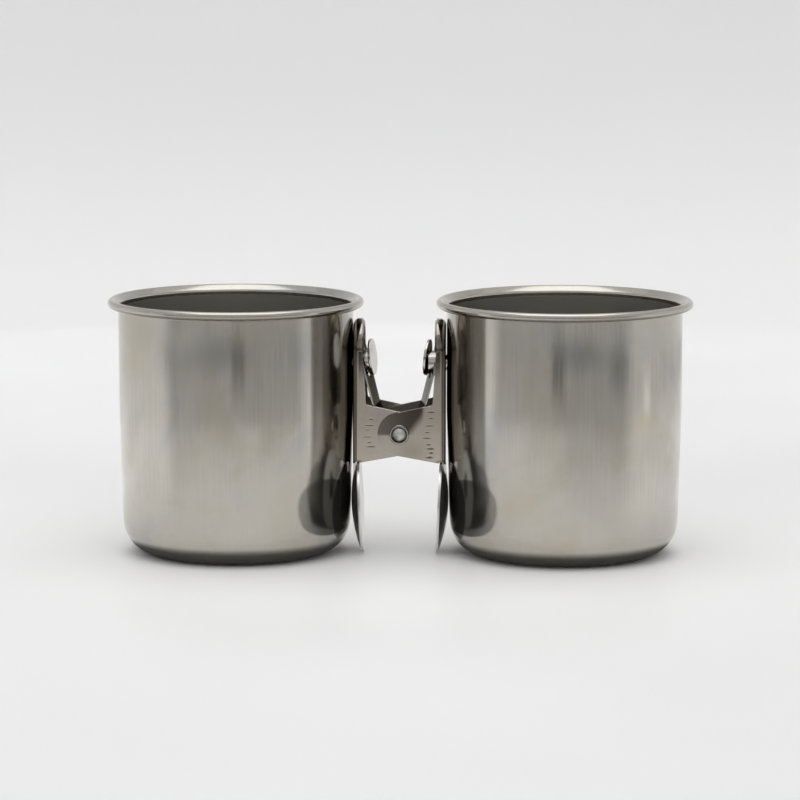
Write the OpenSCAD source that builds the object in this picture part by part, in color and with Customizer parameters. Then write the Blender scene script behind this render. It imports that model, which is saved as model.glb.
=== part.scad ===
// Two small steel cups on a spring clip that bites the edge of a painter's palette.
// The frame: +Z up, the cups left and right along X, the clip between them, the origin
// on the table under the pivot. Each side is the other one turned half a turn about Z.

/* [Cups] */
// Height from the table to the top of the rim
cup_h = 50; // [48:0.5:60]
// Outer diameter of the straight upper wall
cup_d = 45.9; // [42:0.1:50]
// How far the rolled rim stands out from the wall
rim_over = 2.05; // [2:0.05:2.6]
// How far the wall draws in on its way down to the bottom corner
foot_draw = 0.6; // [0.3:0.05:1.5]
// Height at which the wall starts to draw in
straight_z = 28; // [18:0.5:33]
// Outer radius of the bottom corner
corner_r = 6.6; // [4:0.1:9]
// Thickness of the cup's sheet
cup_sheet = 0.5; // [0.4:0.05:0.6]
// Outside thickness of the rolled rim
bead_d = 1.66; // [1.5:0.02:2]
// Middle radius of the bend that turns the wall out into the rim
lip_r = 0.5; // [0.35:0.05:0.6]
// Slope of the straight lip between that bend and the roll
lip_deg = 33; // [25:1:40]

/* [Clip halves] */
// Distance over the two halves' outer faces
clip_span = 18.1; // [17:0.1:22]
// Thickness of the clip's sheet
clip_sheet = 0.5; // [0.4:0.05:0.7]
// Width of one half over its two ears
clip_w = 11.8; // [10.5:0.1:13]
// Outside radius of the bends
bend_r = 1.2; // [0.9:0.05:1.6]
// Depth of the flange round the handle's end
flange_depth = 1.85; // [1.7:0.05:2.6]
// Slope by which the flange deepens towards the ears
flange_deg = 4.2; // [1:0.2:7]
// Height of the handle's top
handle_top_z = 46.1; // [44:0.1:47]
// Gap between one half's ear and the other's
ear_gap = 0.1; // [0.06:0.02:0.2]
// Radius of the ears' round ends
ear_r = 4.2; // [3.4:0.1:4.6]
// Slope of the ears' upper edge
ear_top_deg = 12.4; // [6:0.2:16]
// Slope of the ears' lower edge
ear_low_deg = 10.3; // [6:0.1:14]
// Fillet between the upper edge and the flange
ear_fillet_r = 0.5; // [0.4:0.1:1.4]
// Radius of the relief notches at the foot of the bends
notch_r = 0.55; // [0.3:0.05:0.7]

/* [Jaw pads] */
// Diameter of a round jaw pad
pad_d = 18.5; // [16:0.1:20]
// Depth of the pad's dish
pad_dish = 1.55; // [1:0.05:1.8]
// Lean of the pad, its foot towards the other pad
pad_tilt = 2.6; // [1:0.1:5]
// Height of the pad's lowest edge over the table
pad_clear = 0.25; // [0.1:0.05:1]
// How far the pad's rim stands in from the clip half's outer face
pad_inset = 1.1; // [0.9:0.05:1.4]
// Width of the neck that carries the pad
neck_w = 6; // [4:0.2:8]

/* [Pivot rivet] */
// Height of the pivot over the table
pivot_z = 24.1; // [23.6:0.1:25]
// Diameter of the pivot rivet's shank
pivot_d = 3.1; // [2.4:0.1:3.6]
// Radial running clearance in the ears
pivot_clear = 0.05; // [0.02:0.01:0.09]
// Diameter of the rolled front end
rolled_d = 3.9; // [3.8:0.1:5]
// Diameter of the domed button inside the rolled end
button_d = 2.6; // [1.8:0.1:2.7]
// Height of the button's dome
button_h = 0.38; // [0.3:0.02:0.42]
// How far the button stands out of the rolled ring
button_rise = 0.15; // [0.1:0.05:0.3]
// Width of the groove between the button and the rolled ring
groove_w = 0.2; // [0.15:0.05:0.3]
// Diameter of the rear head
pivot_head_d = 4.8; // [4.4:0.1:6]
// Height of the rear head
pivot_head_h = 0.9; // [0.6:0.1:1.2]
// End play between the heads and the ears
end_play = 0.03; // [0.02:0.01:0.08]

/* [Cup rivets] */
// Height of the cup rivets over the table
cup_rivet_z = 37.5; // [36.5:0.1:38]
// Diameter of the stem through the two sheets
stem_d = 3.2; // [2.6:0.1:3.6]
// Radial clearance of the stem
stem_clear = 0.05; // [0.02:0.01:0.1]
// Diameter of the shoulder that stands off the clip
shoulder_d = 4.6; // [4.2:0.1:5]
// Length of the shoulder
shoulder_len = 3.25; // [2.9:0.05:3.6]
// Diameter of the flat head
head_d = 7.1; // [6:0.1:7.6]
// Thickness of the flat head
head_t = 0.5; // [0.4:0.05:0.7]
// Lean of the flat head, its top towards the cup
head_tilt = 6; // [0:0.5:7]
// Turn of the flat head about an upright line, as the rivet was set a little askew
head_turn = 9; // [0:1:10]
// How far above the shoulder's middle the flat head sits
head_rise = 1; // [0:0.1:1.2]
// Diameter of the clinched button inside the cup
clinch_d = 6; // [5:0.1:6.6]
// Height of the clinched button
clinch_h = 1; // [0.7:0.1:1.4]
// Seat gap between sheets and rivets that touch
seat_gap = 0.02; // [0.01:0.01:0.04]

/* [Spring] */
// Thickness of the spring leaf
leaf_t = 0.4; // [0.3:0.05:0.5]
// Width of the spring leaf
leaf_w = 9.2; // [8.4:0.1:9.4]
// Inside radius of the bend round the pivot rivet
leaf_bend_r = 1.85; // [1.7:0.05:2.1]
// Lean of the legs below the knee
leaf_low_lean = 27; // [24:0.5:30]
// Lean of the legs above the knee
leaf_lean = 14.5; // [13.5:0.5:17]
// Height of the knee over the table
leaf_knee_z = 29.5; // [28.5:0.1:30.5]
// Clearance round the cup rivet's shoulder in the leg's slot
slot_clear = 0.4; // [0.3:0.05:0.6]
// Corner radius at the legs' ends
leaf_corner_r = 2.5; // [2:0.1:3]
// Gap between a leg's end and the clip half it presses on
leaf_gap = 0.05; // [0.03:0.01:0.1]

/* [Hidden] */
$fn = 96;
// Longer than any cut has to reach
far = 60;
// Overlap that joins two regions of one sheet
lap = 0.01;

web_x = clip_span / 2;
web_in_x = web_x - clip_sheet;
flange_x = web_x - flange_depth;
// One half's ears lie outside the other's at the front and inside them at the back
stagger = (clip_sheet + ear_gap) / 2;
ear_face_y = clip_w / 2 + stagger;
handle_c_z = handle_top_z - clip_w / 2;

cup_r = cup_d / 2;
cup_x = web_x + seat_gap + cup_r;
corner_x = cup_r - foot_draw - corner_r;

// The rim's path: a tight bend outwards, a short straight slope, then the roll
roll_r = (bead_d - cup_sheet) / 2;
bead_x = cup_r + rim_over - bead_d / 2;
bead_z = cup_h - bead_d / 2;
lip_x = cup_r - cup_sheet / 2 + lip_r;
lip_len = (bead_x - lip_x + (lip_r - roll_r) * sin(lip_deg)) / cos(lip_deg);
lip_z = bead_z + (roll_r - lip_r) * cos(lip_deg) - lip_len * sin(lip_deg);
// Where the roll ends, short of the wall
roll_end_deg = -130;

pad_r = pad_d / 2;
pad_sphere_r = (pad_r * pad_r + pad_dish * pad_dish) / (2 * pad_dish);
pad_x = web_x - pad_inset;
pad_z = pad_clear + pad_r * cos(pad_tilt);
ear_low_z = pivot_z - ear_r / cos(ear_low_deg) - web_x * tan(ear_low_deg);
// The neck reaches down to where the dish comes back to the clip's own plane
neck_low_z = pad_z + pad_r - 2.7;
neck_trim_z = neck_low_z + 0.5;

leaf_mid_r = leaf_bend_r + leaf_t / 2;
leaf_from_x = leaf_mid_r * cos(leaf_low_lean);
leaf_from_z = pivot_z - leaf_mid_r * sin(leaf_low_lean);
leaf_low_len = (leaf_knee_z - leaf_from_z) / cos(leaf_low_lean);
leaf_knee_x = leaf_from_x + leaf_low_len * sin(leaf_low_lean);
leaf_end_x = web_in_x - leaf_gap - leaf_t / 2 * cos(leaf_lean);
leaf_top_len = (leaf_end_x - leaf_knee_x) / sin(leaf_lean);
slot_from_knee = (cup_rivet_z - leaf_knee_z) / cos(leaf_lean);

// The two sides of the clip: this one at -X, the other turned half a turn
module turned() { rotate([0, 0, 180]) children(); }

// A thin ring sector: the section of a sheet that follows an arc
module arc_sheet(mid_r, sheet, from_deg, to_deg) {
    intersection() {
        difference() {
            circle(r = mid_r + sheet / 2);
            circle(r = mid_r - sheet / 2);
        }
        sector(mid_r * 4, from_deg, to_deg);
    }
}

// A filled sector of a circle, wide enough to trim with
module sector(reach, from_deg, to_deg) {
    steps = ceil((to_deg - from_deg) / 30);
    polygon(concat([[0, 0]], [for (i = [0:steps])
        let (a = from_deg + (to_deg - from_deg) * i / steps) [reach * cos(a), reach * sin(a)]]));
}

// Half of the cup's section inside a surface that lies deep below the outer one
module cup_region(deep) {
    reach = norm([cup_r - corner_x, straight_z - corner_r]);
    touch_deg = atan2(straight_z - corner_r, cup_r - corner_x) - acos((corner_r - deep) / reach);
    radius = corner_r - deep;
    polygon([[0, deep], [corner_x, deep], [corner_x, corner_r],
        [corner_x + radius * cos(touch_deg), corner_r + radius * sin(touch_deg)],
        [cup_r - deep, straight_z], [cup_r - deep, lip_z + (deep > 0 ? 1 : 0)],
        [0, lip_z + (deep > 0 ? 1 : 0)]]);
    intersection() {
        translate([corner_x, corner_r]) circle(r = radius);
        square([far, corner_r]);
    }
}

module rim_section() {
    translate([lip_x, lip_z]) {
        arc_sheet(lip_r, cup_sheet, 90 + lip_deg, 180);
        rotate(lip_deg) translate([-lap, lip_r - cup_sheet / 2])
            square([lip_len + 2 * lap, cup_sheet]);
    }
    translate([bead_x, bead_z]) {
        arc_sheet(roll_r, cup_sheet, 0, 90 + lip_deg);
        arc_sheet(roll_r, cup_sheet, roll_end_deg, 0);
    }
}

module left_cup() {
    color([0.72, 0.71, 0.69])
    difference() {
        translate([-cup_x, stagger, 0]) rotate_extrude() {
            difference() {
                cup_region(0);
                cup_region(cup_sheet);
            }
            rim_section();
        }
        translate([-cup_x + cup_r - 2 * cup_sheet, stagger, cup_rivet_z]) rotate([0, 90, 0])
            cylinder(r = stem_d / 2 + stem_clear, h = 4 * cup_sheet);
    }
}

module right_cup() { turned() left_cup(); }

// Section of a sheet tray from its middle out: the floor, the bend and the wall
module tray_region(half, radius, from_h, to_h) {
    translate([0, from_h]) square([half - radius, radius]);
    translate([0, from_h + radius]) square([half, to_h - from_h - radius]);
    translate([half - radius, from_h + radius]) circle(r = radius);
}

module tray_section(depth) {
    difference() {
        intersection() {
            tray_region(clip_w / 2, bend_r, 0, depth);
            square([far, far]);
        }
        tray_region(clip_w / 2 - clip_sheet, bend_r - clip_sheet, clip_sheet, depth + 1);
    }
}

// The pressed channel below the handle's round end
module channel(low_z, high_z) {
    translate([-web_x, 0, low_z]) linear_extrude(high_z - low_z) rotate(-90) {
        tray_section(web_x + ear_r + 1);
        mirror([1, 0]) tray_section(web_x + ear_r + 1);
    }
}

module handle_end() {
    intersection() {
        translate([-web_x, 0, handle_c_z]) rotate([0, 90, 0])
            rotate_extrude() tray_section(flange_depth);
        translate([-far / 2, -far / 2, handle_c_z]) cube(far);
    }
}

// Side view of the ears, drawn about the pivot: two edges that touch the round end
module ear_outline() {
    top_touch = [ear_r * sin(ear_top_deg), ear_r * cos(ear_top_deg)];
    low_touch = [ear_r * sin(ear_low_deg), -ear_r * cos(ear_low_deg)];
    left = -web_x - 1;
    circle(r = ear_r);
    polygon([top_touch, low_touch,
        [left, low_touch[1] - (low_touch[0] - left) * tan(ear_low_deg)],
        [left, top_touch[1] + (top_touch[0] - left) * tan(ear_top_deg)]]);
}

// Side view of the flange, with the fillet between its edge and the ears' upper edge
module flange_outline() {
    centre = edge_meeting(ear_fillet_r);
    difference() {
        polygon([[-web_x - 1, 0], [edge_meeting(0)[0], edge_meeting(0)[1] - 1],
            centre - ear_fillet_r * [sin(ear_top_deg), cos(ear_top_deg)], centre,
            centre - ear_fillet_r * [cos(flange_deg), sin(flange_deg)],
            [-flange_x, handle_c_z - pivot_z], [-web_x - 1, handle_c_z - pivot_z]]);
        translate(centre) circle(r = ear_fillet_r);
    }
}

// Where the flange's edge and the ears' upper edge meet, both moved out by a distance
function edge_meeting(out) =
    let (rise = (ear_r + out) / cos(ear_top_deg))
    let (run = -flange_x + (handle_c_z - pivot_z) * tan(flange_deg) + out / cos(flange_deg))
    let (x = (run - rise * tan(flange_deg)) / (1 - tan(flange_deg) * tan(ear_top_deg)))
    [x, rise - x * tan(ear_top_deg)];

module half_outline() {
    translate([0, pivot_z]) {
        ear_outline();
        flange_outline();
    }
}

module jaw_pad() {
    translate([-pad_x, 0, pad_z]) rotate([0, -pad_tilt, 0]) intersection() {
        translate([pad_sphere_r - pad_dish, 0, 0]) difference() {
            sphere(r = pad_sphere_r, $fn = 192);
            sphere(r = pad_sphere_r - clip_sheet, $fn = 192);
        }
        translate([-2 * pad_dish, 0, 0]) rotate([0, 90, 0]) cylinder(r = pad_r, h = 4 * pad_dish);
    }
}

// A clip half about its own middle plane: handle, ears, neck and jaw pad
module clip_half() {
    difference() {
        union() {
            handle_end();
            intersection() {
                channel(ear_low_z - 1, handle_c_z);
                translate([0, far / 2, 0]) rotate([90, 0, 0]) linear_extrude(far) half_outline();
            }
            translate([-web_x, -neck_w / 2, neck_low_z])
                cube([clip_sheet, neck_w, ear_low_z + bend_r - neck_low_z]);
            difference() {
                jaw_pad();
                translate([-web_in_x, -neck_w / 2, neck_trim_z]) cube([far, neck_w, far]);
            }
        }
        // Pivot holes in both ears
        translate([0, far / 2, pivot_z]) rotate([90, 0, 0])
            cylinder(r = pivot_d / 2 + pivot_clear, h = far);
        // Hole for the cup rivet
        translate([-web_x - 1, 0, cup_rivet_z]) rotate([0, 90, 0])
            cylinder(r = stem_d / 2 + stem_clear, h = clip_sheet + 2);
        // Relief notches where the bends end
        for (side = [-1, 1])
            translate([-web_x + bend_r - notch_r / 2, side * clip_w / 2 + bend_r, ear_low_z])
                rotate([90, 0, 0]) cylinder(r = notch_r, h = 2 * bend_r);
    }
}

module left_clip_half() {
    color([0.66, 0.65, 0.62]) translate([0, stagger, 0]) clip_half();
}

module right_clip_half() { turned() left_clip_half(); }

// Shank along Y: a rolled ring with a domed button at the front, a domed head behind
module pivot_rivet() {
    reach = ear_face_y + end_play;
    ring_h = pivot_head_h / 2;
    dome_r = (pow(pivot_head_d / 2, 2) + pow(pivot_head_h, 2)) / (2 * pivot_head_h);
    button_dome_r = (pow(button_d / 2, 2) + pow(button_h, 2)) / (2 * button_h);
    color([0.6, 0.59, 0.57]) translate([0, 0, pivot_z]) {
        rotate([90, 0, 0]) translate([0, 0, -reach - lap]) cylinder(r = pivot_d / 2, h = 2 * (reach + lap));
        // Front end
        translate([0, -reach, 0]) rotate([90, 0, 0]) {
            difference() {
                rotate_extrude() intersection() {
                    union() {
                        square([rolled_d / 2 - ring_h / 2, ring_h]);
                        translate([rolled_d / 2 - ring_h / 2, ring_h / 2]) circle(r = ring_h / 2);
                    }
                    square(far);
                }
                translate([0, 0, ring_h / 3]) cylinder(r = button_d / 2 + groove_w, h = 1);
            }
            intersection() {
                translate([0, 0, ring_h + button_rise - button_dome_r]) sphere(r = button_dome_r);
                cylinder(r = button_d / 2, h = 2 * ring_h);
            }
        }
        // Rear head
        translate([0, reach, 0]) rotate([-90, 0, 0]) intersection() {
            translate([0, 0, pivot_head_h - dome_r]) sphere(r = dome_r);
            cylinder(r = pivot_head_d / 2, h = pivot_head_h);
        }
    }
}

// Half of the leaf's path in side view: the bend, the lower leg, the knee, the upper leg
module leaf_side() {
    arc_sheet(leaf_mid_r, leaf_t, -90, -leaf_low_lean);
    translate([leaf_from_x, leaf_from_z - pivot_z]) rotate(90 - leaf_low_lean)
        translate([0, -leaf_t / 2]) square([leaf_low_len, leaf_t]);
    translate([leaf_knee_x, leaf_knee_z - pivot_z]) {
        circle(r = leaf_t / 2, $fn = 24);
        rotate(90 - leaf_lean) translate([0, -leaf_t / 2]) square([leaf_top_len, leaf_t]);
    }
}

module spring() {
    color([0.55, 0.54, 0.52]) difference() {
        translate([0, leaf_w / 2, pivot_z]) rotate([90, 0, 0]) linear_extrude(leaf_w) {
            leaf_side();
            mirror([1, 0]) leaf_side();
        }
        for (side = [0, 180]) rotate([0, 0, side])
            translate([leaf_knee_x, 0, leaf_knee_z]) rotate([0, leaf_lean, 0]) {
                // Slot round the cup rivet's shoulder
                translate([0, -stagger, 0]) rotate([0, 90, 0])
                    translate([-slot_from_knee, 0, -1]) leg_slot();
                // Round the two corners of the leg's end
                for (corner = [-1, 1]) leg_corner(corner);
            }
    }
}

// The shoulder passes a leaning leg, so the slot is longer than it is wide
module leg_slot() {
    radius = shoulder_d / 2 + slot_clear;
    shift = leaf_t * tan(leaf_lean) + slot_clear;
    linear_extrude(2) {
        for (end = [-1, 1]) translate([end * shift, 0]) circle(r = radius);
        translate([-shift, -radius]) square([2 * shift, 2 * radius]);
    }
}

module leg_corner(corner) {
    translate([-1, corner * (leaf_w / 2 - leaf_corner_r), leaf_top_len - leaf_corner_r]) difference() {
        translate([0, corner > 0 ? 0 : -far, 0]) cube([2, far, far]);
        rotate([0, 90, 0]) translate([0, 0, -1]) cylinder(r = leaf_corner_r, h = 4);
    }
}

// Along X: the flat head, the shoulder, the stem through both sheets, the clinched button
module left_cup_rivet() {
    inner_wall_r = cup_r - cup_sheet;
    button_x = -cup_x + sqrt(pow(inner_wall_r, 2) - pow(clinch_d / 2, 2)) - seat_gap;
    seat_x = -web_in_x + seat_gap;
    head_x = seat_x + shoulder_len;
    // The shoulder ends inside the askew head all round
    shoulder_short = max(0, shoulder_d / 2 * sin(head_turn) - head_t / 4);
    button_r = (pow(clinch_d / 2, 2) + pow(clinch_h, 2)) / (2 * clinch_h);
    color([0.7, 0.69, 0.67]) translate([0, stagger, cup_rivet_z]) {
        translate([button_x - lap, 0, 0]) rotate([0, 90, 0])
            cylinder(r = stem_d / 2, h = seat_x - button_x + 2 * lap);
        translate([seat_x, 0, 0]) rotate([0, 90, 0])
            cylinder(r = shoulder_d / 2, h = shoulder_len - shoulder_short);
        translate([head_x, 0, 0]) rotate([0, -head_tilt, -head_turn]) rotate([0, 90, 0])
            translate([-head_rise, 0, -head_t / 2]) cylinder(r = head_d / 2, h = head_t);
        translate([button_x, 0, 0]) rotate([0, -90, 0]) intersection() {
            translate([0, 0, clinch_h - button_r]) sphere(r = button_r);
            cylinder(r = clinch_d / 2, h = clinch_h);
        }
    }
}

module right_cup_rivet() { turned() left_cup_rivet(); }

left_cup();
right_cup();
left_clip_half();
right_clip_half();
pivot_rivet();
spring();
left_cup_rivet();
right_cup_rivet();
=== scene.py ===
"""Two small steel cups on a spring clip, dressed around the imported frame. Lengths in metres."""

import math

import bmesh
import bpy
from mathutils import Matrix, Vector, noise


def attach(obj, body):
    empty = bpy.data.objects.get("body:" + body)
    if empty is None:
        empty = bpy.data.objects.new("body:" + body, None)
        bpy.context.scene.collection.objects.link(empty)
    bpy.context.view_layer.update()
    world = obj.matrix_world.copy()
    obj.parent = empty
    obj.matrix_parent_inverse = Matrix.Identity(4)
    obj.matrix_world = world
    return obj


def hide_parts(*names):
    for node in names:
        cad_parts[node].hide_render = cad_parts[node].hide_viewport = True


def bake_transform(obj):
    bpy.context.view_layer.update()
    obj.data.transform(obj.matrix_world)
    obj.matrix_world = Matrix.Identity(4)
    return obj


MM = 0.001
DOWN, UP = -math.pi / 2, math.pi / 2

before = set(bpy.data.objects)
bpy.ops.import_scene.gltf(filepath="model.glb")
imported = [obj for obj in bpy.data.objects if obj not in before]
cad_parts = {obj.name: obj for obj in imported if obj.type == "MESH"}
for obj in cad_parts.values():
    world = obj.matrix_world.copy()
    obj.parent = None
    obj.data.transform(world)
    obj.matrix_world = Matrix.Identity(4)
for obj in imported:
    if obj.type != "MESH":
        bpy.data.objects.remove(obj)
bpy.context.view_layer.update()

# Camera
CAMERA_AWAY = 773.6 * MM
CAMERA_UP = 140.6 * MM
CAMERA_AZIMUTH = 0.027
CAMERA_PITCH = 0.142
LENS = 180.0
SENSOR = 36.0
NEAREST, FARTHEST = 0.01, 10.0


def make_camera():
    data = bpy.data.cameras.new("camera")
    data.lens = LENS
    data.sensor_width = SENSOR
    data.clip_start = NEAREST
    data.clip_end = FARTHEST
    camera = bpy.data.objects.new("camera", data)
    bpy.context.scene.collection.objects.link(camera)
    camera.location = (
        CAMERA_AWAY * math.sin(CAMERA_AZIMUTH),
        -CAMERA_AWAY * math.cos(CAMERA_AZIMUTH),
        CAMERA_UP,
    )
    camera.rotation_euler = (math.pi / 2 - CAMERA_PITCH, 0, CAMERA_AZIMUTH)
    bpy.context.scene.camera = camera


make_camera()
bpy.context.scene.view_settings.view_transform = "Standard"


# Shader nodes
class Paint:
    """A material under construction, with short calls for the nodes it uses."""

    def __init__(self, name):
        self.material = bpy.data.materials.new(name)
        self.material.use_nodes = True
        self.tree = self.material.node_tree
        self.surface = self.tree.nodes["Principled BSDF"]
        self.place = self.coordinates("Object")

    def new(self, kind):
        return self.tree.nodes.new(f"ShaderNode{kind}")

    def coordinates(self, kind):
        return self.new("TexCoord").outputs[kind]

    def put(self, socket, value):
        """Links another node's output to the socket, or sets a plain value on it."""
        if isinstance(value, bpy.types.NodeSocket):
            self.tree.links.new(value, socket)
        else:
            socket.default_value = value

    def math(self, operation, first, second=0.0, clamp=False):
        node = self.new("Math")
        node.operation = operation
        node.use_clamp = clamp
        self.put(node.inputs[0], first)
        self.put(node.inputs[1], second)
        return node.outputs[0]

    def times(self, first, *others):
        for other in others:
            first = self.math("MULTIPLY", first, other)
        return first

    def plus(self, first, second, clamp=False):
        return self.math("ADD", first, second, clamp)

    def minus(self, first, second):
        return self.math("SUBTRACT", first, second)

    def absolute(self, value):
        return self.math("ABSOLUTE", value)

    def diagonal(self, first, second):
        """The length of a line with these two extents."""
        squares = [self.math("POWER", extent, 2.0) for extent in (first, second)]
        return self.math("SQRT", self.plus(*squares))

    def scaled(self, scale, shift=(0, 0, 0)):
        node = self.new("Mapping")
        node.inputs["Scale"].default_value = scale
        node.inputs["Location"].default_value = shift
        self.put(node.inputs["Vector"], self.place)
        return node.outputs[0]

    def noise(self, scale, detail=3.0, rough=0.55, shift=(0, 0, 0), warp=0.0):
        node = self.new("TexNoise")
        node.inputs["Scale"].default_value = 1.0
        node.inputs["Detail"].default_value = detail
        node.inputs["Roughness"].default_value = rough
        node.inputs["Distortion"].default_value = warp
        self.put(node.inputs["Vector"], self.scaled(scale, shift))
        return node.outputs["Fac"]

    def ramp(self, value, low, high, to_low=0.0, to_high=1.0):
        """A smooth step: to_low where the value is at low, to_high where it is at high."""
        node = self.new("MapRange")
        node.interpolation_type = "SMOOTHSTEP"
        self.put(node.inputs["Value"], value)
        for name, number in (
            ("From Min", low),
            ("From Max", high),
            ("To Min", to_low),
            ("To Max", to_high),
        ):
            node.inputs[name].default_value = number
        return node.outputs["Result"]

    def component(self, vector, letter):
        node = self.new("SeparateXYZ")
        self.put(node.inputs[0], vector)
        return node.outputs[letter]

    def axis(self, letter):
        return self.component(self.place, letter)

    def facing(self, letter):
        """How far the surface looks along an axis, from -1 to 1."""
        return self.component(self.coordinates("Normal"), letter)

    def distance(self, centre, first="X", second="Y"):
        """How far a point is from a straight line that runs along the third axis."""
        extents = [self.plus(self.axis(letter), -place)
                   for letter, place in zip((first, second), centre)]
        return self.diagonal(*extents)

    def mix(self, share, first, second):
        node = self.new("Mix")
        node.data_type = "RGBA"
        self.put(node.inputs["Factor"], share)
        self.put(node.inputs["A"], first)
        self.put(node.inputs["B"], second)
        return node.outputs["Result"]

    def spot(self, centre, reach):
        """1 at a place, falling softly to 0 at reach, which has one length for each axis."""
        away = self.new("VectorMath")
        away.operation = "LENGTH"
        scale = [1 / r for r in reach]
        shift = [-c / r for c, r in zip(centre, reach)]
        self.put(away.inputs[0], self.scaled(scale, shift))
        return self.ramp(away.outputs["Value"], 1.0, 0.0)

    def bump(self, height, strength, distance, under=None):
        node = self.new("Bump")
        node.inputs["Strength"].default_value = strength
        node.inputs["Distance"].default_value = distance
        self.put(node.inputs["Height"], height)
        if under is not None:
            self.put(node.inputs["Normal"], under)
        return node.outputs[0]


def rgba(colour):
    return (*colour, 1.0)


def shade(colour, factor):
    return tuple(part * factor for part in colour)


def tinted(colour, tint):
    return tuple(part * share for part, share in zip(colour, tint))


# Steels: one recipe, with its own grain direction and wear for each piece
WARM_STEEL = (0.51, 0.488, 0.44)
CLIP_STEEL = (0.435, 0.392, 0.336)
BRIGHT_STEEL = (0.56, 0.54, 0.5)
WARM_TINT = (0.95, 0.91, 0.82)
COOL_TINT = (0.82, 0.87, 0.95)
WHITE = (1, 1, 1)
BLUE_GREY = (0.19, 0.2, 0.205)
BROWN = (0.1, 0.085, 0.07)
PIT_BROWN = (0.06, 0.05, 0.04)
UPRIGHT_GRAIN = (2600, 2600, 60)
CLIP_GRAIN = (400, 2600, 2600)
STRIP_GRAIN = (300, 2600, 2600)
EVEN_GRAIN = (900, 900, 900)
CLOUD_SCALE = (70, 70, 55)
PIT_SCALE = (160, 160, 160)
STREAK_BUMP, TICK_BUMP = 0.02 * MM, 0.05 * MM


def mottled(paint, colour, streaks, clouds):
    """The steel's colour in faint streaks, with warmer and cooler clouds in it."""
    dark, light = shade(colour, 0.975), shade(colour, 1.025)
    warm, cool = tinted(colour, WARM_TINT), tinted(colour, COOL_TINT)
    body = paint.mix(paint.ramp(streaks, 0.3, 0.7), rgba(dark), rgba(light))
    body = paint.mix(paint.ramp(clouds, 0.5, 0.72, 0.0, 0.85), body, rgba(warm))
    return paint.mix(paint.ramp(clouds, 0.47, 0.27, 0.0, 0.8), body, rgba(cool))


def pitted(paint, body, share, shift):
    """Tiny dark pits of uneven size, in a small share of the pattern's cells."""
    cells = paint.new("TexVoronoi")
    cells.inputs["Scale"].default_value = 1.0
    paint.put(cells.inputs["Vector"], paint.scaled(PIT_SCALE, shift))
    chance = paint.new("SeparateColor")
    paint.put(chance.inputs[0], cells.outputs["Color"])
    chosen = paint.math("LESS_THAN", chance.outputs[0], share)
    radius = paint.plus(paint.times(chance.outputs[1], 0.03), 0.02)
    dot = paint.math("LESS_THAN", cells.outputs["Distance"], radius)
    return paint.mix(paint.times(chosen, dot), body, rgba(PIT_BROWN))


def steel(name, colour, rough, grain, seed, cool_spots=(), shade_spots=(), pits=0.0, ticks=(),
          shade_mask=None, parts=(), broad_shade=None):
    """Spots and ticks are (centre, reach, share), parts are (mask, colour, added roughness)."""
    paint = Paint(name)
    shift = (seed * 0.37, seed * 0.61, seed * 0.83)
    streaks = paint.noise(grain, detail=4.0, rough=0.6, shift=shift)
    clouds = paint.noise(CLOUD_SCALE, detail=4.0, rough=0.6, shift=shift, warp=0.6)
    fine = paint.noise(EVEN_GRAIN, shift=shift)
    body = mottled(paint, colour, streaks, clouds)
    roughness = paint.ramp(streaks, 0.25, 0.75, rough * 0.85, rough * 1.15)
    for mask_of, part_colour, rougher in parts:
        mask = mask_of(paint)
        body = paint.mix(mask, body, rgba(part_colour))
        roughness = paint.plus(roughness, paint.times(mask, rougher))
    for centre, reach, share in cool_spots:
        mask = paint.times(paint.spot(centre, reach), paint.ramp(clouds, 0.2, 0.6, 0.7, 1.0))
        body = paint.mix(paint.times(mask, share), body, rgba(BLUE_GREY))
    # Painted shade: brown spots where shade falls.
    for centre, reach, share in shade_spots:
        body = paint.mix(paint.times(paint.spot(centre, reach), share), body, rgba(BROWN))
    if pits:
        body = pitted(paint, body, pits, shift)
    normal = paint.bump(paint.plus(streaks, paint.times(fine, 0.25)), 0.05, STREAK_BUMP)
    dents = 0.0
    for centre, reach, share in ticks:
        mask = paint.spot(centre, reach)
        body = paint.mix(paint.times(mask, share), body, rgba(BROWN))
        dents = paint.plus(dents, mask)
    if ticks:
        normal = paint.bump(paint.times(dents, -1.0), 0.5, TICK_BUMP, normal)
    # Painted shade: darkens towards brown where the mask lies.
    if shade_mask:
        body = paint.mix(shade_mask(paint), body, rgba(shade(BROWN, 0.62)))
    # Painted shade: the strip's broad faces are darkened, in colour and in the tint of their
    # reflections.
    if broad_shade:
        broad = paint.ramp(paint.absolute(paint.facing("Y")), 0.75, 0.45)
        tint = paint.mix(broad, rgba(WHITE), rgba(broad_shade))
        paint.put(paint.surface.inputs["Specular Tint"], tint)
        body = paint.mix(paint.times(broad, 0.8), body, rgba(BROWN))
    paint.put(paint.surface.inputs["Base Color"], body)
    paint.put(paint.surface.inputs["Roughness"], roughness)
    paint.put(paint.surface.inputs["Normal"], normal)
    paint.surface.inputs["Metallic"].default_value = 1.0
    return paint.material


# Lines and meshes
def arc(centre, radius, start, end, steps):
    """Points on an arc, with both its ends."""
    return [
        (
            centre[0] + radius * math.cos(start + (end - start) * i / steps),
            centre[1] + radius * math.sin(start + (end - start) * i / steps),
        )
        for i in range(steps + 1)
    ]


def line(first, last, steps):
    """Points on a straight line, with both its ends."""
    return [
        tuple(a + (b - a) * i / steps for a, b in zip(first, last)) for i in range(steps + 1)
    ]


def object_from(name, mesh):
    thing = bpy.data.objects.new(name, mesh)
    bpy.context.scene.collection.objects.link(thing)
    return thing


def card(name, points, faces=((0, 1, 2, 3),)):
    mesh = bpy.data.meshes.new(name)
    mesh.from_pydata(points, [], faces)
    return object_from(name, mesh)


def smooth_mesh(name, bm):
    mesh = bpy.data.meshes.new(name)
    bm.to_mesh(mesh)
    bm.free()
    for face in mesh.polygons:
        face.use_smooth = True
    return mesh


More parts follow.
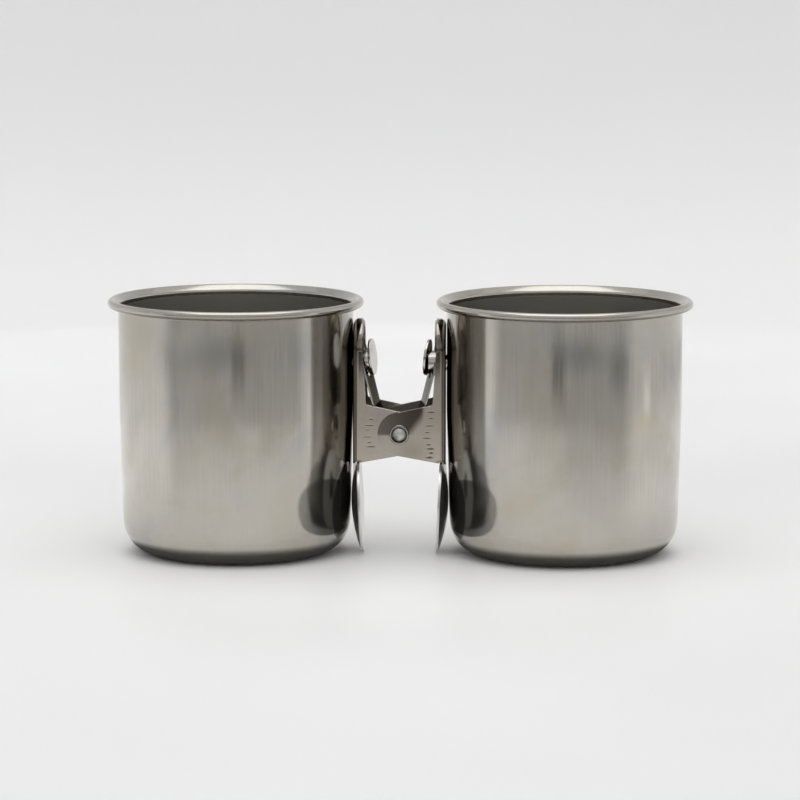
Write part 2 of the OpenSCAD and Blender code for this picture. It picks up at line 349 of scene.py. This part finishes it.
def unevenness(angle, z, seed):
    """A smooth random number for each place on a round wall, mostly below 0."""
    waves_around, waves_up, inward = 1.3, 30, 0.8
    place = Vector((math.cos(angle) * waves_around, math.sin(angle) * waves_around,
                    z * waves_up + seed))
    return noise.noise(place) - inward


def lathe(name, outline, centre, around, wobble=0.0, seed=0.0, closed_end=True):
    """Turns an outline about an upright line; wobble draws the wall in unevenly."""
    full_wobble_r = 20 * MM
    bm = bmesh.new()
    rings = []
    for r, z in outline:
        ring = []
        for k in range(around):
            angle = 2 * math.pi * k / around
            radius = r + wobble * unevenness(angle, z, seed) * min(1.0, r / full_wobble_r)
            ring.append(bm.verts.new((
                centre[0] + radius * math.cos(angle), centre[1] + radius * math.sin(angle), z)))
        rings.append(ring)
    for low, high in zip(rings, rings[1:]):
        for k in range(around):
            n = (k + 1) % around
            bm.faces.new((low[k], low[n], high[n], high[k]))
    bm.faces.new(rings[0])
    if closed_end:
        bm.faces.new(rings[-1])
    bmesh.ops.recalc_face_normals(bm, faces=bm.faces)
    return object_from(name, smooth_mesh(name, bm))


# Cups: the sheet's middle line runs from the bottom's centre to the end of the roll
RIM_OVER = 2.05 * MM
CUP_H = 50 * MM
CUP_R = 22.95 * MM
FOOT_DRAW = 0.6 * MM
STRAIGHT_Z = 28 * MM
CORNER_R = 6.6 * MM
SHEET = 0.5 * MM
BEAD_D = 1.66 * MM
LIP_R = 0.5 * MM
LIP_SLOPE = math.radians(33)
ROLL_END = math.radians(-130)
FIRST_R = 0.3 * MM
CUP_X = 32.02 * MM
STAGGER = 0.3 * MM
CUP_AROUND = 288
CUP_WOBBLE = 0.05 * MM
LIP_STEPS, ROLL_STEPS = 9, 40
RIM_POINTS = LIP_STEPS + ROLL_STEPS + 2
FIXED_BELOW_RIM = 15
SMOOTHING_TURNS = 6

# Dark bluish-grey patches in mm: place from the foot of the cup's front line, reach, and share
CUP_SPOTS = {
    -1: [(-2, 0, 42, 9, 9, 6.5, 0.42), (-12, 3, 41, 3.5, 9, 9, 0.3)],
    1: [(2.5, 0, 42, 8, 9, 5.5, 0.5), (10, 3, 39.5, 3.2, 9, 9, 0.55)],
}


def cup_path():
    """Bottom, corner, tapering wall, straight wall, the bend into the lip, and the roll."""
    half = SHEET / 2
    corner_x = CUP_R - FOOT_DRAW - CORNER_R
    reach = math.hypot(CUP_R - corner_x, STRAIGHT_Z - CORNER_R)
    middle_r = CORNER_R - half
    touch = math.atan2(STRAIGHT_Z - CORNER_R, CUP_R - corner_x) - math.acos(CORNER_R / reach)
    corner_end = (corner_x + middle_r * math.cos(touch), CORNER_R + middle_r * math.sin(touch))
    roll_r = (BEAD_D - SHEET) / 2
    wall_r = CUP_R - half
    bead = (CUP_R + RIM_OVER - BEAD_D / 2, CUP_H - BEAD_D / 2)
    rise, run = math.sin(LIP_SLOPE), math.cos(LIP_SLOPE)
    lip_x = wall_r + LIP_R
    lip_len = (bead[0] - lip_x + (LIP_R - roll_r) * rise) / run
    lip = (lip_x, bead[1] + (roll_r - LIP_R) * run - lip_len * rise)
    lip_end = UP + LIP_SLOPE
    path = line((FIRST_R, half), (corner_x, half), 30)[:-1]
    path += arc((corner_x, CORNER_R), middle_r, DOWN, touch, 20)[:-1]
    path += line(corner_end, (wall_r, STRAIGHT_Z), 24)[:-1]
    path += line((wall_r, STRAIGHT_Z), (wall_r, lip[1]), 24)[:-1]
    path += arc(lip, LIP_R, math.pi, lip_end, LIP_STEPS)
    path += arc(bead, roll_r, lip_end, ROLL_END, ROLL_STEPS)
    return path


def relaxed(path, times, fixed_tail):
    """Takes the slight corners out of the wall's line, and leaves the roll as it is."""
    points = [list(p) for p in path]
    for _ in range(times):
        before = [list(p) for p in points]
        for i in range(1, len(points) - fixed_tail):
            for k in (0, 1):
                points[i][k] = (before[i - 1][k] + 2 * before[i][k] + before[i + 1][k]) / 4
    return [tuple(p) for p in points]


def both_sides(path, sheet):
    """The closed outline of a sheet that follows the path: the outside, then back inside."""
    sides = []
    for side in (1, -1):
        offset = []
        for i, (r, z) in enumerate(path):
            r0, z0 = path[max(i - 1, 0)]
            r1, z1 = path[min(i + 1, len(path) - 1)]
            length = math.hypot(r1 - r0, z1 - z0)
            offset.append((r + side * (z1 - z0) / length * sheet / 2,
                           z - side * (r1 - r0) / length * sheet / 2))
        sides.append(offset)
    return sides[0] + sides[1][::-1]


def cup_steel(name, side, x, y):
    """Dark bluish-grey patches, painted shade on the side by the clip, a rougher inside painted
    darker as shade, and painted shade under the rim.
    """
    inside_top, inside_full = CUP_H - 1.6 * MM, CUP_H - 2.2 * MM
    rim_low, rim_under = CUP_H - 0.9 * MM, CUP_H - 1.3 * MM
    grey_patches = [((x + dx * MM, y - CUP_R + dy * MM, dz * MM), (rx * MM, ry * MM, rz * MM), share)
             for dx, dy, dz, rx, ry, rz, share in CUP_SPOTS[side]]
    # Painted shade on the wall beside the clip, where the two cups and the clip face each other.
    shade_by_clip = ((side * 10.2 * MM, y - 9.5 * MM, 26 * MM), (3.2 * MM, 7 * MM, 34 * MM), 0.9)

    def shaded_inside(paint):
        """The inside of the sheet, told by the way it faces, up to just below the rim."""
        across = paint.plus(paint.axis("X"), -x)
        along = paint.plus(paint.axis("Y"), -y)
        outwards = paint.plus(paint.times(across, paint.facing("X")),
                              paint.times(along, paint.facing("Y")))
        outwards = paint.minus(paint.math("DIVIDE", outwards, CUP_R), paint.facing("Z"))
        return paint.times(paint.ramp(outwards, 0.1, -0.1),
                           paint.ramp(paint.axis("Z"), inside_top, inside_full))

    def rim_underside_shade(paint):
        """The underside of the rim, where it stands out beyond the wall, painted dark as shade."""
        past_wall = paint.ramp(paint.distance((x, y)), CUP_R + 0.1 * MM, CUP_R + 0.3 * MM)
        return paint.times(past_wall, paint.ramp(paint.axis("Z"), rim_low, rim_under, 0.0, 0.75))

    return steel(name, WARM_STEEL, 0.13, UPRIGHT_GRAIN, 3 + side, cool_spots=grey_patches,
                 shade_spots=[shade_by_clip], pits=0.012, shade_mask=rim_underside_shade,
                 # The inside is painted darker as shade, and made rougher.
                 parts=[(shaded_inside, shade(WARM_STEEL, 0.68), 0.3)])


def make_cup(side, body):
    x, y = side * CUP_X, -side * STAGGER
    path = relaxed(cup_path(), SMOOTHING_TURNS, RIM_POINTS + FIXED_BELOW_RIM)
    outline = both_sides(path, SHEET)
    cup = lathe(f"{body}_cup", outline, (x, y), CUP_AROUND, wobble=CUP_WOBBLE, seed=side * 3.1)
    cup.data.materials.append(cup_steel(f"{body}_cup_steel", side, x, y))
    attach(cup, f"{body}_side")
    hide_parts(f"{body}_cup")


# Pivot rivet: turned about its own axis, the rolled end at the front
EAR_Y = 5.9 * MM
PIVOT_Z = 24.1 * MM
PIVOT_REACH = 6.23 * MM
SHANK_R = 1.55 * MM
HEAD_R, HEAD_H = 2.4 * MM, 0.9 * MM
HEAD_EDGE_H, HEAD_EDGE_IN = 0.06 * MM, 0.04 * MM
RING_R, RING_H = 1.95 * MM, 0.45 * MM
GROOVE_R, GROOVE_UP = 1.5 * MM, 0.15 * MM
GROOVE_EDGE_R = 0.08 * MM
BUTTON_R, BUTTON_H, BUTTON_RISE = 1.3 * MM, 0.45 * MM, 0.15 * MM
DOME_SHARE = 0.98
HEAD_GAP, BUTTON_GAP = 0.002, 0.004


def cap_radius(half_width, height):
    """The radius of the ball that a cap of this half width and height is cut from."""
    return (half_width ** 2 + height ** 2) / (2 * height)


def pivot_path():
    """From the rear head's middle to the front button's, each a small angle off the axis."""
    dome = cap_radius(HEAD_R, HEAD_H)
    button = cap_radius(BUTTON_R, BUTTON_H)
    dome_turn = math.asin(DOME_SHARE * HEAD_R / dome)
    button_turn = math.asin(BUTTON_R / button)
    ring_top = PIVOT_REACH + RING_H
    ring_middle = (RING_R - RING_H / 2, PIVOT_REACH + RING_H / 2)
    edge_middle = (GROOVE_R + GROOVE_EDGE_R, ring_top - GROOVE_EDGE_R)
    dome_middle = (0, -PIVOT_REACH - HEAD_H + dome)
    button_middle = (0, ring_top + BUTTON_RISE - button)
    path = arc(dome_middle, dome, DOWN + HEAD_GAP, DOWN + dome_turn, 16)
    path += [(HEAD_R, -PIVOT_REACH - HEAD_EDGE_H), (HEAD_R - HEAD_EDGE_IN, -PIVOT_REACH)]
    path += [(SHANK_R, -PIVOT_REACH), (SHANK_R, PIVOT_REACH)]
    path += arc(ring_middle, RING_H / 2, DOWN, UP, 12)
    path += arc(edge_middle, GROOVE_EDGE_R, UP, math.pi, 5)
    path += [(GROOVE_R, PIVOT_REACH + GROOVE_UP)]
    path += arc(button_middle, button, UP - button_turn, UP - BUTTON_GAP, 14)
    return path


def make_pivot(material):
    pivot = lathe("pivot", pivot_path(), (0, 0), 96)
    lying = Matrix.Rotation(math.pi / 2, 4, "X")
    pivot.data.transform(Matrix.Translation((0, 0, PIVOT_Z)) @ lying)
    pivot.data.set_sharp_from_angle(angle=math.radians(40))
    pivot.data.materials.append(material)
    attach(pivot, "left_side")
    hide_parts("pivot_rivet")


def from_pivot(paint):
    return paint.distance((0.0, PIVOT_Z), "X", "Z")


def groove_shade(paint):
    """Painted shade: dark in the groove round the button, and half dark on the rolled ring."""
    radius = from_pivot(paint)
    groove = paint.times(paint.ramp(radius, BUTTON_R - 0.1 * MM, BUTTON_R),
                         paint.ramp(radius, GROOVE_R + 0.12 * MM, GROOVE_R + 0.02 * MM))
    ring = paint.times(paint.ramp(radius, GROOVE_R, GROOVE_R + 0.1 * MM), 0.4)
    both = paint.plus(paint.times(groove, 0.9), ring, clamp=True)
    return paint.times(both, paint.ramp(paint.axis("Y"), -5 * MM, -6 * MM))


# Painted highlight: the domed button is painted lighter, and made rougher.
def button_highlight(paint):
    return paint.ramp(from_pivot(paint), BUTTON_R, BUTTON_R - 0.1 * MM)


# Masks of the clip halves, and the heights of their die marks in mm
LEFT_MARKS = (27.1, 25.9, 25.0, 23.6, 22.5, 21.7)
RIGHT_MARKS = (28.6, 27.4, 25.9, 24.6, 23.5, 22.2, 21.4, 20.6, 19.7)


def rear_ears(paint):
    """The faces of the rear ears that look to the front."""
    return paint.times(paint.ramp(paint.facing("Y"), -0.6, -0.8),
                       paint.ramp(paint.axis("Y"), 2 * MM, 4 * MM))


def jaw_pad(paint):
    """All of a clip half that lies below its ears."""
    return paint.ramp(paint.axis("Z"), 18.3 * MM, 17.3 * MM)


def ear_edge_highlight(paint):
    """The sheared edges of the ears, with a painted highlight."""
    edge = paint.ramp(paint.absolute(paint.facing("Y")), 0.93, 0.78)
    low = paint.ramp(paint.axis("Z"), 34 * MM, 32 * MM)
    inside_bends = paint.ramp(paint.absolute(paint.axis("X")), 7.6 * MM, 7.2 * MM)
    on_ears = paint.ramp(paint.absolute(paint.axis("Y")), 4.9 * MM, 5.1 * MM)
    return paint.times(edge, low, inside_bends, on_ears)


def ear_dark_reflection(paint):
    """Painted dark reflection: the right ear is darkest over its round end, up to a slanting line
    past the pivot.
    """
    slant = -0.76
    front = paint.ramp(paint.axis("Y"), -5.5 * MM, -5.9 * MM)
    above = paint.times(paint.ramp(paint.axis("Z"), 23.7 * MM, 24.3 * MM),
                        paint.ramp(paint.axis("X"), 5.2 * MM, 4.2 * MM))
    along = paint.plus(paint.axis("X"), paint.times(paint.axis("Z"), slant))
    left = paint.times(paint.ramp(along, -15.2 * MM, -17.6 * MM),
                       paint.ramp(paint.axis("X"), -5 * MM, 3 * MM, 0.72, 0.97))
    return paint.times(front, above, left)


def ear_marks(side, heights, share):
    """Die marks in a column beside the bend of the front ear, and of the rear ear behind it."""
    column, wide, deep, thick = 5.8 * MM, 0.85 * MM, 1.2 * MM, 0.25 * MM
    marks = []
    for i, z in enumerate(heights):
        x = side * (column + 0.45 * MM * math.sin(7.3 * i + side))
        reach = (wide + 0.35 * MM * math.sin(3.1 * i + side), deep,
                 thick + 0.07 * MM * math.sin(5.7 * i))
        for y in (-EAR_Y, EAR_Y):
            marks.append(((x, y, z * MM), reach, share))
    return marks


def bend_shade(side):
    """Painted shade on the top of the front flange and the bend, and in the dark corner under the
    bend.
    """
    return [((side * 8.2 * MM, -EAR_Y, 42.5 * MM), (2.4 * MM, 2.6 * MM, 7 * MM), 0.85),
            ((side * 7.9 * MM, -EAR_Y, 18.7 * MM), (1.2 * MM, 1.5 * MM, 0.5 * MM), 0.85)]


def clip_steel(side, name, seed, marks, extra_shade=(), shade_mask=None):
    """Darker steel than the cups, with painted light on the pads and the ear edges, and a rougher
    back painted lighter.
    """
    parts = [
        # Painted light: the rear ears' front faces are painted lighter, and made rougher.
        (rear_ears, shade(CLIP_STEEL, 1.1), 0.3),
        # Painted light: the pads are painted a light grey, and made rougher.
        (jaw_pad, (0.8, 0.79, 0.77), 0.25),
        # Painted highlight on the ears' sheared edges.
        (ear_edge_highlight, (0.86, 0.84, 0.8), 0.0),
    ]
    return steel(name, CLIP_STEEL, 0.07, CLIP_GRAIN, seed, pits=0.01, shade_mask=shade_mask, parts=parts,
                 shade_spots=[*bend_shade(side), *extra_shade], ticks=marks)


# The other pieces keep the frame's shapes, with their sheared edges rounded
LEAF_HALF_W = 4.6 * MM
LEAF_SKEW = 0.9 * MM
SKEW_FROM_Z, SKEW_RISE = 25 * MM, 6 * MM


def cleaned(node):
    """A copy of a frame node's mesh, with its flat stretches joined into single faces."""
    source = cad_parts[node]
    bm = bmesh.new()
    bm.from_mesh(source.data)
    bmesh.ops.transform(bm, matrix=source.matrix_world, verts=bm.verts)
    bmesh.ops.remove_doubles(bm, verts=bm.verts, dist=0.002 * MM)
    bmesh.ops.dissolve_limit(
        bm, angle_limit=math.radians(0.4), verts=bm.verts, edges=bm.edges,
        delimit={"SHARP"})
    return object_from(f"{node}_dressed", smooth_mesh(f"{node}_dressed", bm))


def dressed(node, edge, material, body):
    piece = cleaned(node)
    bevel = piece.modifiers.new("edges", "BEVEL")
    bevel.width = edge
    bevel.segments = 3
    bevel.limit_method = "ANGLE"
    bevel.angle_limit = math.radians(40)
    normals = piece.modifiers.new("normals", "WEIGHTED_NORMAL")
    normals.mode = "FACE_AREA"
    normals.weight = 80
    bpy.context.view_layer.update()
    graph = bpy.context.evaluated_depsgraph_get()
    final = bpy.data.meshes.new_from_object(piece.evaluated_get(graph))
    piece.modifiers.clear()
    piece.data = final
    final.materials.clear()
    final.materials.append(material)
    if body:
        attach(piece, body)
    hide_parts(node)
    return piece


def skew_legs(thing):
    """Brings the rear edges of the legs a little closer together than the front edges."""
    for vertex in thing.data.vertices:
        x, y, z = vertex.co
        rise = min(1.0, max(0.0, (z - SKEW_FROM_Z) / SKEW_RISE))
        share = rise * rise * (3 - 2 * rise) * (y + LEAF_HALF_W) / (2 * LEAF_HALF_W)
        vertex.co.x = x - math.copysign(LEAF_SKEW * share, x)


make_cup(-1, "left")
make_cup(1, "right")
# Painted shade on the right front ear, below the pivot.
shade_under_pivot = ((2.5 * MM, -EAR_Y, 20.8 * MM), (5 * MM, 2 * MM, 3.4 * MM), 0.25)
clip_left = clip_steel(-1, "left_clip_steel", 11, ear_marks(-1, LEFT_MARKS, 0.5))
clip_right = clip_steel(1, "right_clip_steel", 12, ear_marks(1, RIGHT_MARKS, 0.92),
                        extra_shade=[shade_under_pivot], shade_mask=ear_dark_reflection)
# Painted shade on the shoulders of the cup rivets, inside the clip.
shoulder_shade = [((side * 6.3 * MM, 0, 39.9 * MM), (1.5 * MM, 4 * MM, 2 * MM), 0.85)
             for side in (-1, 1)]
# Painted shade on the lower left of the domed button.
button_shade = ((-0.8 * MM, -6.8 * MM, 23.5 * MM), (1.1 * MM, 2 * MM, 1.1 * MM), 0.7)
rivet = steel("rivet_steel", BRIGHT_STEEL, 0.12, EVEN_GRAIN, 21, shade_spots=shoulder_shade)
pivot_steel = steel("pivot_steel", BRIGHT_STEEL, 0.12, EVEN_GRAIN, 22, shade_mask=groove_shade,
                    parts=[(button_highlight, shade(BRIGHT_STEEL, 1.15), 0.3)],
                    shade_spots=[button_shade])
# The spring's legs take painted shade on their broad faces.
strip = steel("spring_steel", BRIGHT_STEEL, 0.1, STRIP_GRAIN, 31, broad_shade=(0.12, 0.11, 0.09))
dressed("left_clip_half", 0.18 * MM, clip_left, "left_side")
dressed("right_clip_half", 0.18 * MM, clip_right, "right_side")
make_pivot(pivot_steel)
dressed("left_cup_rivet", 0.1 * MM, rivet, "left_side")
dressed("right_cup_rivet", 0.1 * MM, rivet, "right_side")
leaf = dressed("spring", 0.08 * MM, strip, None)
skew_legs(leaf)
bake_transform(leaf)

# Studio: a round white sweep, open above, and what only the steel's reflections see
FLOOR_R = 0.35
SWEEP_R = 1.0
WALL_TOP = 1.4
FRONT_DARK = 0.2
SCREEN_GLOW = 0.02
# Bearings in degrees between which the front gives way to the sides
SIDE_FROM, SIDE_TO = 58.0, 74.0


def backdrop():
    """White, with painted light: a little brighter round the object and behind it, where the sweep
    starts to rise.
    """
    paint = Paint("sweep_white")
    near = paint.ramp(paint.distance((0.0, 0.0)), 0.04, 0.12, 1.19, 1.0)
    behind = paint.times(paint.ramp(paint.axis("Y"), 0.05, 0.38, 1.0, 1.2),
                         paint.ramp(paint.axis("Y"), 0.42, 0.72, 1.0, 0.88))
    cloud = paint.noise((9, 9, 9), detail=2.0)
    level = paint.times(paint.times(near, behind), paint.ramp(cloud, 0.3, 0.7, 0.812, 0.82))
    grey = paint.new("CombineColor")
    for channel in grey.inputs:
        paint.put(channel, level)
    paint.put(paint.surface.inputs["Base Color"], grey.outputs[0])
    paint.surface.inputs["Roughness"].default_value = 0.45
    paint.surface.inputs["Specular IOR Level"].default_value = 0.3
    return paint.material


def make_sweep():
    outline = line((0.5 * MM, 0), (FLOOR_R, 0), 6)[:-1]
    outline += arc((FLOOR_R, SWEEP_R), SWEEP_R, DOWN, 0, 24)[:-1]
    outline += line((FLOOR_R + SWEEP_R, SWEEP_R), (FLOOR_R + SWEEP_R, WALL_TOP), 3)
    sweep = lathe("sweep", outline, (0, 0), 96, closed_end=False)
    sweep.data.materials.append(backdrop())


def glow_paint(name):
    """An emission whose strength and cover are painted, and a clear rest."""
    paint = Paint(name)
    paint.tree.nodes.remove(paint.surface)
    glow = paint.new("Emission")
    clear = paint.new("BsdfTransparent")
    both = paint.new("MixShader")
    paint.put(both.inputs[1], clear.outputs[0])
    paint.put(both.inputs[2], glow.outputs[0])
    paint.put(paint.tree.nodes["Material Output"].inputs["Surface"], both.outputs[0])
    return paint, glow.inputs["Strength"], both.inputs["Fac"]


def reflections_only(thing):
    thing.visible_camera = False
    thing.visible_diffuse = False
    thing.visible_shadow = False
    thing.visible_transmission = False


def bearing(paint):
    """Degrees round the object: 0 towards the camera's side, 90 towards +X."""
    turn = paint.math("ARCTAN2", paint.axis("X"), paint.times(paint.axis("Y"), -1.0))
    return paint.times(turn, 180 / math.pi)


def front_glow(paint, away):
    """The floor in front: greyer with distance, and dark past its edge."""
    near = paint.times(paint.ramp(away, 0.08, 0.23, 0.9, 0.54),
                       paint.ramp(paint.axis("X"), -20 * MM, 60 * MM, 1.0, 0.86))
    middle = paint.times(paint.ramp(paint.absolute(paint.axis("X")), 45 * MM, 25 * MM),
                         paint.ramp(paint.axis("Y"), -262 * MM, -274 * MM))
    far = paint.math("MAXIMUM", paint.ramp(away, 0.3, 0.345), middle)
    dark = paint.minus(FRONT_DARK, paint.times(middle, FRONT_DARK * 0.65))
    return paint.plus(paint.times(near, paint.minus(1.0, far)), paint.times(far, dark))


def side_glow(paint, away):
    """The floor at the sides: white, and a little less so at the right."""
    far_right = paint.times(paint.axis("X"), paint.ramp(away, 0.23, 0.3))
    return paint.times(paint.ramp(away, 0.12, 0.3, 1.0, 0.88),
                       paint.ramp(far_right, 0.1, 0.2, 1.0, 0.82),
                       paint.ramp(paint.axis("X"), 0.0, 60 * MM, 1.0, 0.92))


def bright_band(paint, away, degrees):
    """A narrow bright band on the floor to the right."""
    band_at, band_full, band_end = 84.0, 2.0, 5.0
    off_band = paint.absolute(paint.minus(degrees, band_at))
    ring = paint.times(paint.ramp(away, 0.24, 0.27), paint.ramp(away, 0.32, 0.29))
    return paint.times(paint.times(paint.ramp(off_band, band_end, band_full), ring), 0.45)


def make_floor_glow():
    """What the steel sees of the floor: white at the sides, greyer in front, dark past its edge."""
    reach, height = 0.42, 0.4 * MM
    floor = card("floor_glow", [(-reach, -reach, height), (reach, -reach, height),
                                (reach, reach, height), (-reach, reach, height)])
    paint, strength, cover = glow_paint("floor_glow")
    away = paint.distance((0.0, 0.0))
    degrees = bearing(paint)
    share = paint.ramp(paint.absolute(degrees), SIDE_FROM, SIDE_TO, 1.0, 0.0)
    level = paint.plus(paint.times(front_glow(paint, away), share),
                       paint.times(side_glow(paint, away), paint.minus(1.0, share)))
    level = paint.plus(level, bright_band(paint, away, degrees))
    clouds = paint.noise((14, 14, 14), detail=2.0)
    paint.put(strength, paint.times(level, paint.ramp(clouds, 0.3, 0.7, 0.92, 1.08)))
    paint.put(cover, paint.ramp(away, 0.07, 0.12))
    floor.data.materials.append(paint.material)
    reflections_only(floor)


def make_front_room():
    """The dim room behind the camera, as a curved screen that ends softly at both sides."""
    away, spread, steps = 0.43, math.radians(75), 24
    top, full_below = 0.13, 0.07
    points = []
    for i in range(steps + 1):
        a = -spread + 2 * spread * i / steps
        points += [(away * math.sin(a), -away * math.cos(a), z) for z in (0.0, top)]
    faces = [(2 * i, 2 * i + 2, 2 * i + 3, 2 * i + 1) for i in range(steps)]
    screen = card("front_room", points, faces)
    paint, strength, cover = glow_paint("front_room")
    clouds = paint.noise((9, 9, 9), detail=2.0)
    paint.put(strength, paint.ramp(clouds, 0.35, 0.65, FRONT_DARK * 0.7, FRONT_DARK * 1.4))
    edge = paint.ramp(paint.absolute(bearing(paint)), SIDE_TO, SIDE_FROM)
    paint.put(cover, paint.times(edge, paint.ramp(paint.axis("Z"), top, full_below)))
    screen.data.materials.append(paint.material)
    reflections_only(screen)


def dim_screen(name, points, cover_of):
    """A black screen that only reflections see, as far as its painted cover lets them."""
    screen = card(name, points)
    paint, strength, cover = glow_paint(name)
    paint.put(strength, SCREEN_GLOW)
    paint.put(cover, cover_of(paint))
    screen.data.materials.append(paint.material)
    reflections_only(screen)


def make_gap_shade(side, name):
    """The dark round patch that each cup shows low beside the clip."""
    x, y, z, wide, high = side * 8.75 * MM, -10.8 * MM, 9.1 * MM, 11.8 * MM, 6.5 * MM
    points = [(x, y + a * wide, z + b * high) for a, b in ((-1, -1), (1, -1), (1, 1), (-1, 1))]

    def round_cover(paint):
        across = paint.math("DIVIDE", paint.plus(paint.axis("Y"), -y), wide)
        up = paint.math("DIVIDE", paint.plus(paint.axis("Z"), -z), high)
        return paint.times(paint.ramp(paint.diagonal(across, up), 1.0, 0.93),
                           paint.ramp(across, -0.8, 0.1, 0.52, 0.78))

    dim_screen(name, points, round_cover)


def make_contact_shade():
    """Deepens what the bottom corners see of the floor under the cups."""
    wide, deep, z = 60 * MM, 27 * MM, 0.25 * MM
    points = [(-wide, -deep, z), (wide, -deep, z), (wide, deep, z), (-wide, deep, z)]

    def ring_cover(paint):
        across = paint.minus(paint.absolute(paint.axis("X")), CUP_X)
        away = paint.diagonal(across, paint.axis("Y"))
        return paint.ramp(away, 24.2 * MM, 20.5 * MM, 0.0, 0.82)

    dim_screen("contact_shade", points, ring_cover)


make_sweep()
make_floor_glow()
make_front_room()
make_gap_shade(-1, "gap_shade_left")
make_gap_shade(1, "gap_shade_right")
make_contact_shade()

# Lights
WORLD_LIGHT = 0.705
LIGHTS_AIM = Vector((0, 0, 0.02))


def make_light(name, place, size, power, mirrored=True):
    data = bpy.data.lights.new(name, "AREA")
    data.shape = "RECTANGLE"
    data.size, data.size_y = size
    data.energy = power
    light = bpy.data.objects.new(name, data)
    bpy.context.scene.collection.objects.link(light)
    light.location = place
    light.visible_glossy = mirrored
    light.rotation_euler = (LIGHTS_AIM - Vector(place)).to_track_quat("-Z", "Y").to_euler()


make_light("overhead", (0, -0.03, 0.95), (0.9, 0.9), 2.9)
make_light("front_fill", (0, -0.6, 0.45), (0.9, 0.5), 1.5, mirrored=False)

world = bpy.data.worlds.new("studio")
bpy.context.scene.world = world
world.use_nodes = True
world.node_tree.nodes["Background"].inputs["Color"].default_value = rgba(WHITE)
world.node_tree.nodes["Background"].inputs["Strength"].default_value = WORLD_LIGHT
